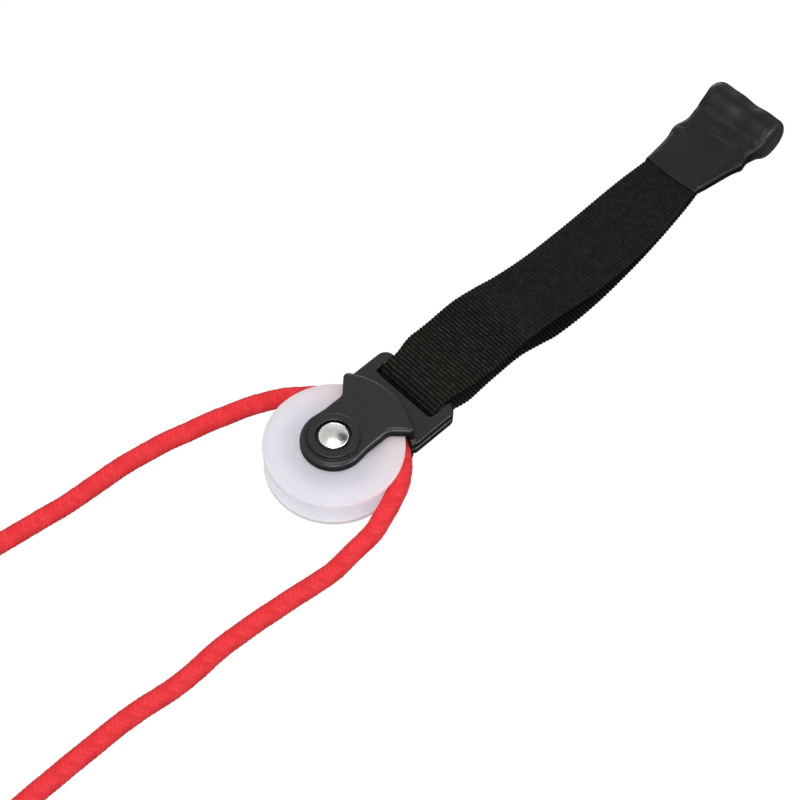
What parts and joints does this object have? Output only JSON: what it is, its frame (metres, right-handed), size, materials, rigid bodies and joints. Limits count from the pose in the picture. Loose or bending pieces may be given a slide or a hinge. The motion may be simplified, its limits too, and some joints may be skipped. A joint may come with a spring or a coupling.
{
  "type": "shoulder pulley",
  "caption": "Over-door shoulder exercise pulley: grooved white wheel in a riveted two-shell block, doubled webbing strap with sleeved door anchor, red cord with foam handles.",
  "frame": {"origin": "centre of the pulley wheel, on its axle at mid-width", "axes": "+Z along the wheel's axle, upwards from the lying block; +X along the strap towards the door anchor; +Y across the strap, towards the left cord"},
  "size_m": [0.7446, 0.3094, 0.028],
  "materials": {
    "webbing": "ribbed woven polypropylene webbing, dry and matt",
    "thread": "black bonded thread",
    "sleeve": "wrinkled soft vinyl, semi-gloss",
    "foam_roll": "hard rubber roll",
    "block_plastic": "satin moulded nylon",
    "rivet_steel": "zinc-plated, bright",
    "spacer_brass": "drawn tube",
    "washer_nylon": "natural nylon",
    "wheel_nylon": "translucent white nylon, soft sheen",
    "cord": "braided polyester cord",
    "foam": "closed-cell foam, matt",
    "tube_plastic": "extruded",
    "cap_plastic": "moulded, satin",
    "clamp_plastic": "moulded, fine texture"
  },
  "bodies": {
    "door_anchor": {"anchor_roll": "foam_roll", "anchor_webbing": "webbing", "anchor_stitching": "thread", "anchor_sleeve": "sleeve"},
    "strap": {"strap_webbing": "webbing"},
    "block": {"front_shell": "block_plastic", "rear_shell": "block_plastic", "axle_rivet": "rivet_steel", "rivet_washer": "rivet_steel", "axle_spacer": "spacer_brass", "front_washer": "washer_nylon", "rear_washer": "washer_nylon", "cord_on_wheel": "cord"},
    "wheel": {"pulley_wheel": "wheel_nylon"},
    "left_cord": {"left_strand": "cord"},
    "right_cord": {"right_strand": "cord"},
    "left_hitch": {"left_clamp": "clamp_plastic", "left_clamped_ends": "cord"},
    "right_hitch": {"right_clamp": "clamp_plastic", "right_clamped_ends": "cord"},
    "left_handle": {"left_handle_cord": "cord"},
    "right_handle": {"right_handle_cord": "cord"},
    "left_grip": {"left_grip_tube": "tube_plastic", "left_foam_grip": "foam", "left_inner_cap": "cap_plastic", "left_outer_cap": "cap_plastic"},
    "right_grip": {"right_grip_tube": "tube_plastic", "right_foam_grip": "foam", "right_inner_cap": "cap_plastic", "right_outer_cap": "cap_plastic"}
  },
  "joints": [
    {"name": "strap_fold", "type": "hinge", "parent": "door_anchor", "child": "strap", "pos_m": [0.1815, 0, -0.002], "axis": [0, 1, 0], "range_deg": [-90, 90]},
    {"name": "block_swing", "type": "hinge", "parent": "strap", "child": "block", "pos_m": [0.0396, 0, 0], "axis": [0, 1, 0], "range_deg": [-90, 90]},
    {"name": "wheel_spin", "type": "hinge", "parent": "block", "child": "wheel", "pos_m": [0, 0, 0], "axis": [0, 0, 1], "continuous": true},
    {"name": "left_cord_swing", "type": "hinge", "parent": "block", "child": "left_cord", "pos_m": [0.00493, 0.02949, -0.0017], "axis": [0, 0, 1], "range_deg": [-25, 3]},
    {"name": "right_cord_swing", "type": "hinge", "parent": "block", "child": "right_cord", "pos_m": [-0.00315, -0.02903, -0.0023], "axis": [0, 0, 1], "range_deg": [-3, 25]},
    {"name": "left_cord_run", "type": "slide", "parent": "left_cord", "child": "left_hitch", "axis": [-1, 0, 0], "range_m": [-0.15, 0.15], "deforming": ["left_strand"]},
    {"name": "right_cord_run", "type": "slide", "parent": "right_cord", "child": "right_hitch", "axis": [-1, 0, 0], "range_m": [-0.15, 0.15], "deforming": ["right_strand"]},
    {"name": "left_handle_tilt", "type": "hinge", "parent": "left_hitch", "child": "left_handle", "pos_m": [-0.4046, 0.1042, -0.0066], "axis": [0, 1, 0], "range_deg": [-60, 60]},
    {"name": "right_handle_tilt", "type": "hinge", "parent": "right_hitch", "child": "right_handle", "pos_m": [-0.4046, -0.0702, -0.0066], "axis": [0, 1, 0], "range_deg": [-60, 60]},
    {"name": "left_grip_spin", "type": "hinge", "parent": "left_handle", "child": "left_grip", "pos_m": [-0.49478, 0.1042, 0.002], "axis": [0, 1, 0], "continuous": true},
    {"name": "right_grip_spin", "type": "hinge", "parent": "right_handle", "child": "right_grip", "pos_m": [-0.49478, -0.0702, 0.002], "axis": [0, 1, 0], "continuous": true}
  ],
  "couplings": [
    {"joint": "right_cord_run", "follows": "left_cord_run", "ratio": -1},
    {"joint": "wheel_spin", "follows": "left_cord_run", "rad_per_m": 49.505}
  ]
}
